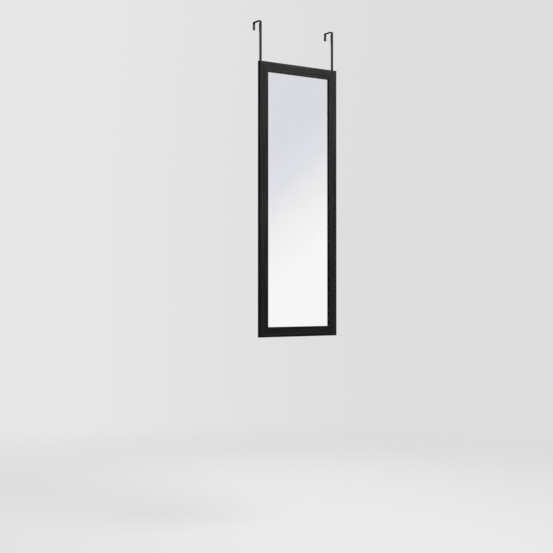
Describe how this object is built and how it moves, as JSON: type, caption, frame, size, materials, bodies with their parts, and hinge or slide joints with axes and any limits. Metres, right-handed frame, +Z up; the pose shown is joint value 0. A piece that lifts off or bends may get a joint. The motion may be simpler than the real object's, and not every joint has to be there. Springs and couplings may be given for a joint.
{
  "type": "over the door mirror",
  "caption": "Tall narrow mirror in a black mitred moulding, hung over a door's top edge by two bent flat steel straps with slotted, adjustable feet.",
  "frame": {"origin": "on the door's front top edge, midway between the two straps: y = 0 is the door's face and z = 0 its top", "axes": "+Z up, +X to the right seen from the front, +Y from the door's face to its back; the glass faces -Y"},
  "size_m": [0.37, 0.0635, 1.231],
  "materials": {
    "frame_black": "satin black lacquer over fine grain",
    "silvered_glass": "clear silvered glass",
    "liner_foam": "matte foam sheet",
    "fibreboard": "raw brown fibreboard",
    "nail_steel": "plain sheared steel",
    "hook_black": "satin black powder coat",
    "pad_foam": "matte closed-cell foam",
    "screw_zinc": "bright zinc plate",
    "bumper_rubber": "matte rubber"
  },
  "bodies": {
    "mirror": {"top_rail": "frame_black", "bottom_rail": "frame_black", "left_stile": "frame_black", "right_stile": "frame_black", "corner_nails": "nail_steel", "mirror_glass": "silvered_glass", "foam_liner": "liner_foam", "backing_board": "fibreboard", "retaining_points": "nail_steel", "left_clamp_screws": "screw_zinc", "right_clamp_screws": "screw_zinc", "left_clamp_washers": "screw_zinc", "right_clamp_washers": "screw_zinc", "left_bumper": "bumper_rubber", "right_bumper": "bumper_rubber"},
    "left_hanger": {"left_hook": "hook_black", "left_front_pad": "pad_foam", "left_top_pad": "pad_foam", "left_rear_pad": "pad_foam"},
    "right_hanger": {"right_hook": "hook_black", "right_front_pad": "pad_foam", "right_top_pad": "pad_foam", "right_rear_pad": "pad_foam"}
  },
  "joints": [
    {"name": "left_hook_slide", "type": "slide", "parent": "mirror", "child": "left_hanger", "axis": [0, 0, 1], "range_m": [-0.06, 0]},
    {"name": "right_hook_slide", "type": "slide", "parent": "mirror", "child": "right_hanger", "axis": [0, 0, 1], "range_m": [-0.06, 0]}
  ]
}
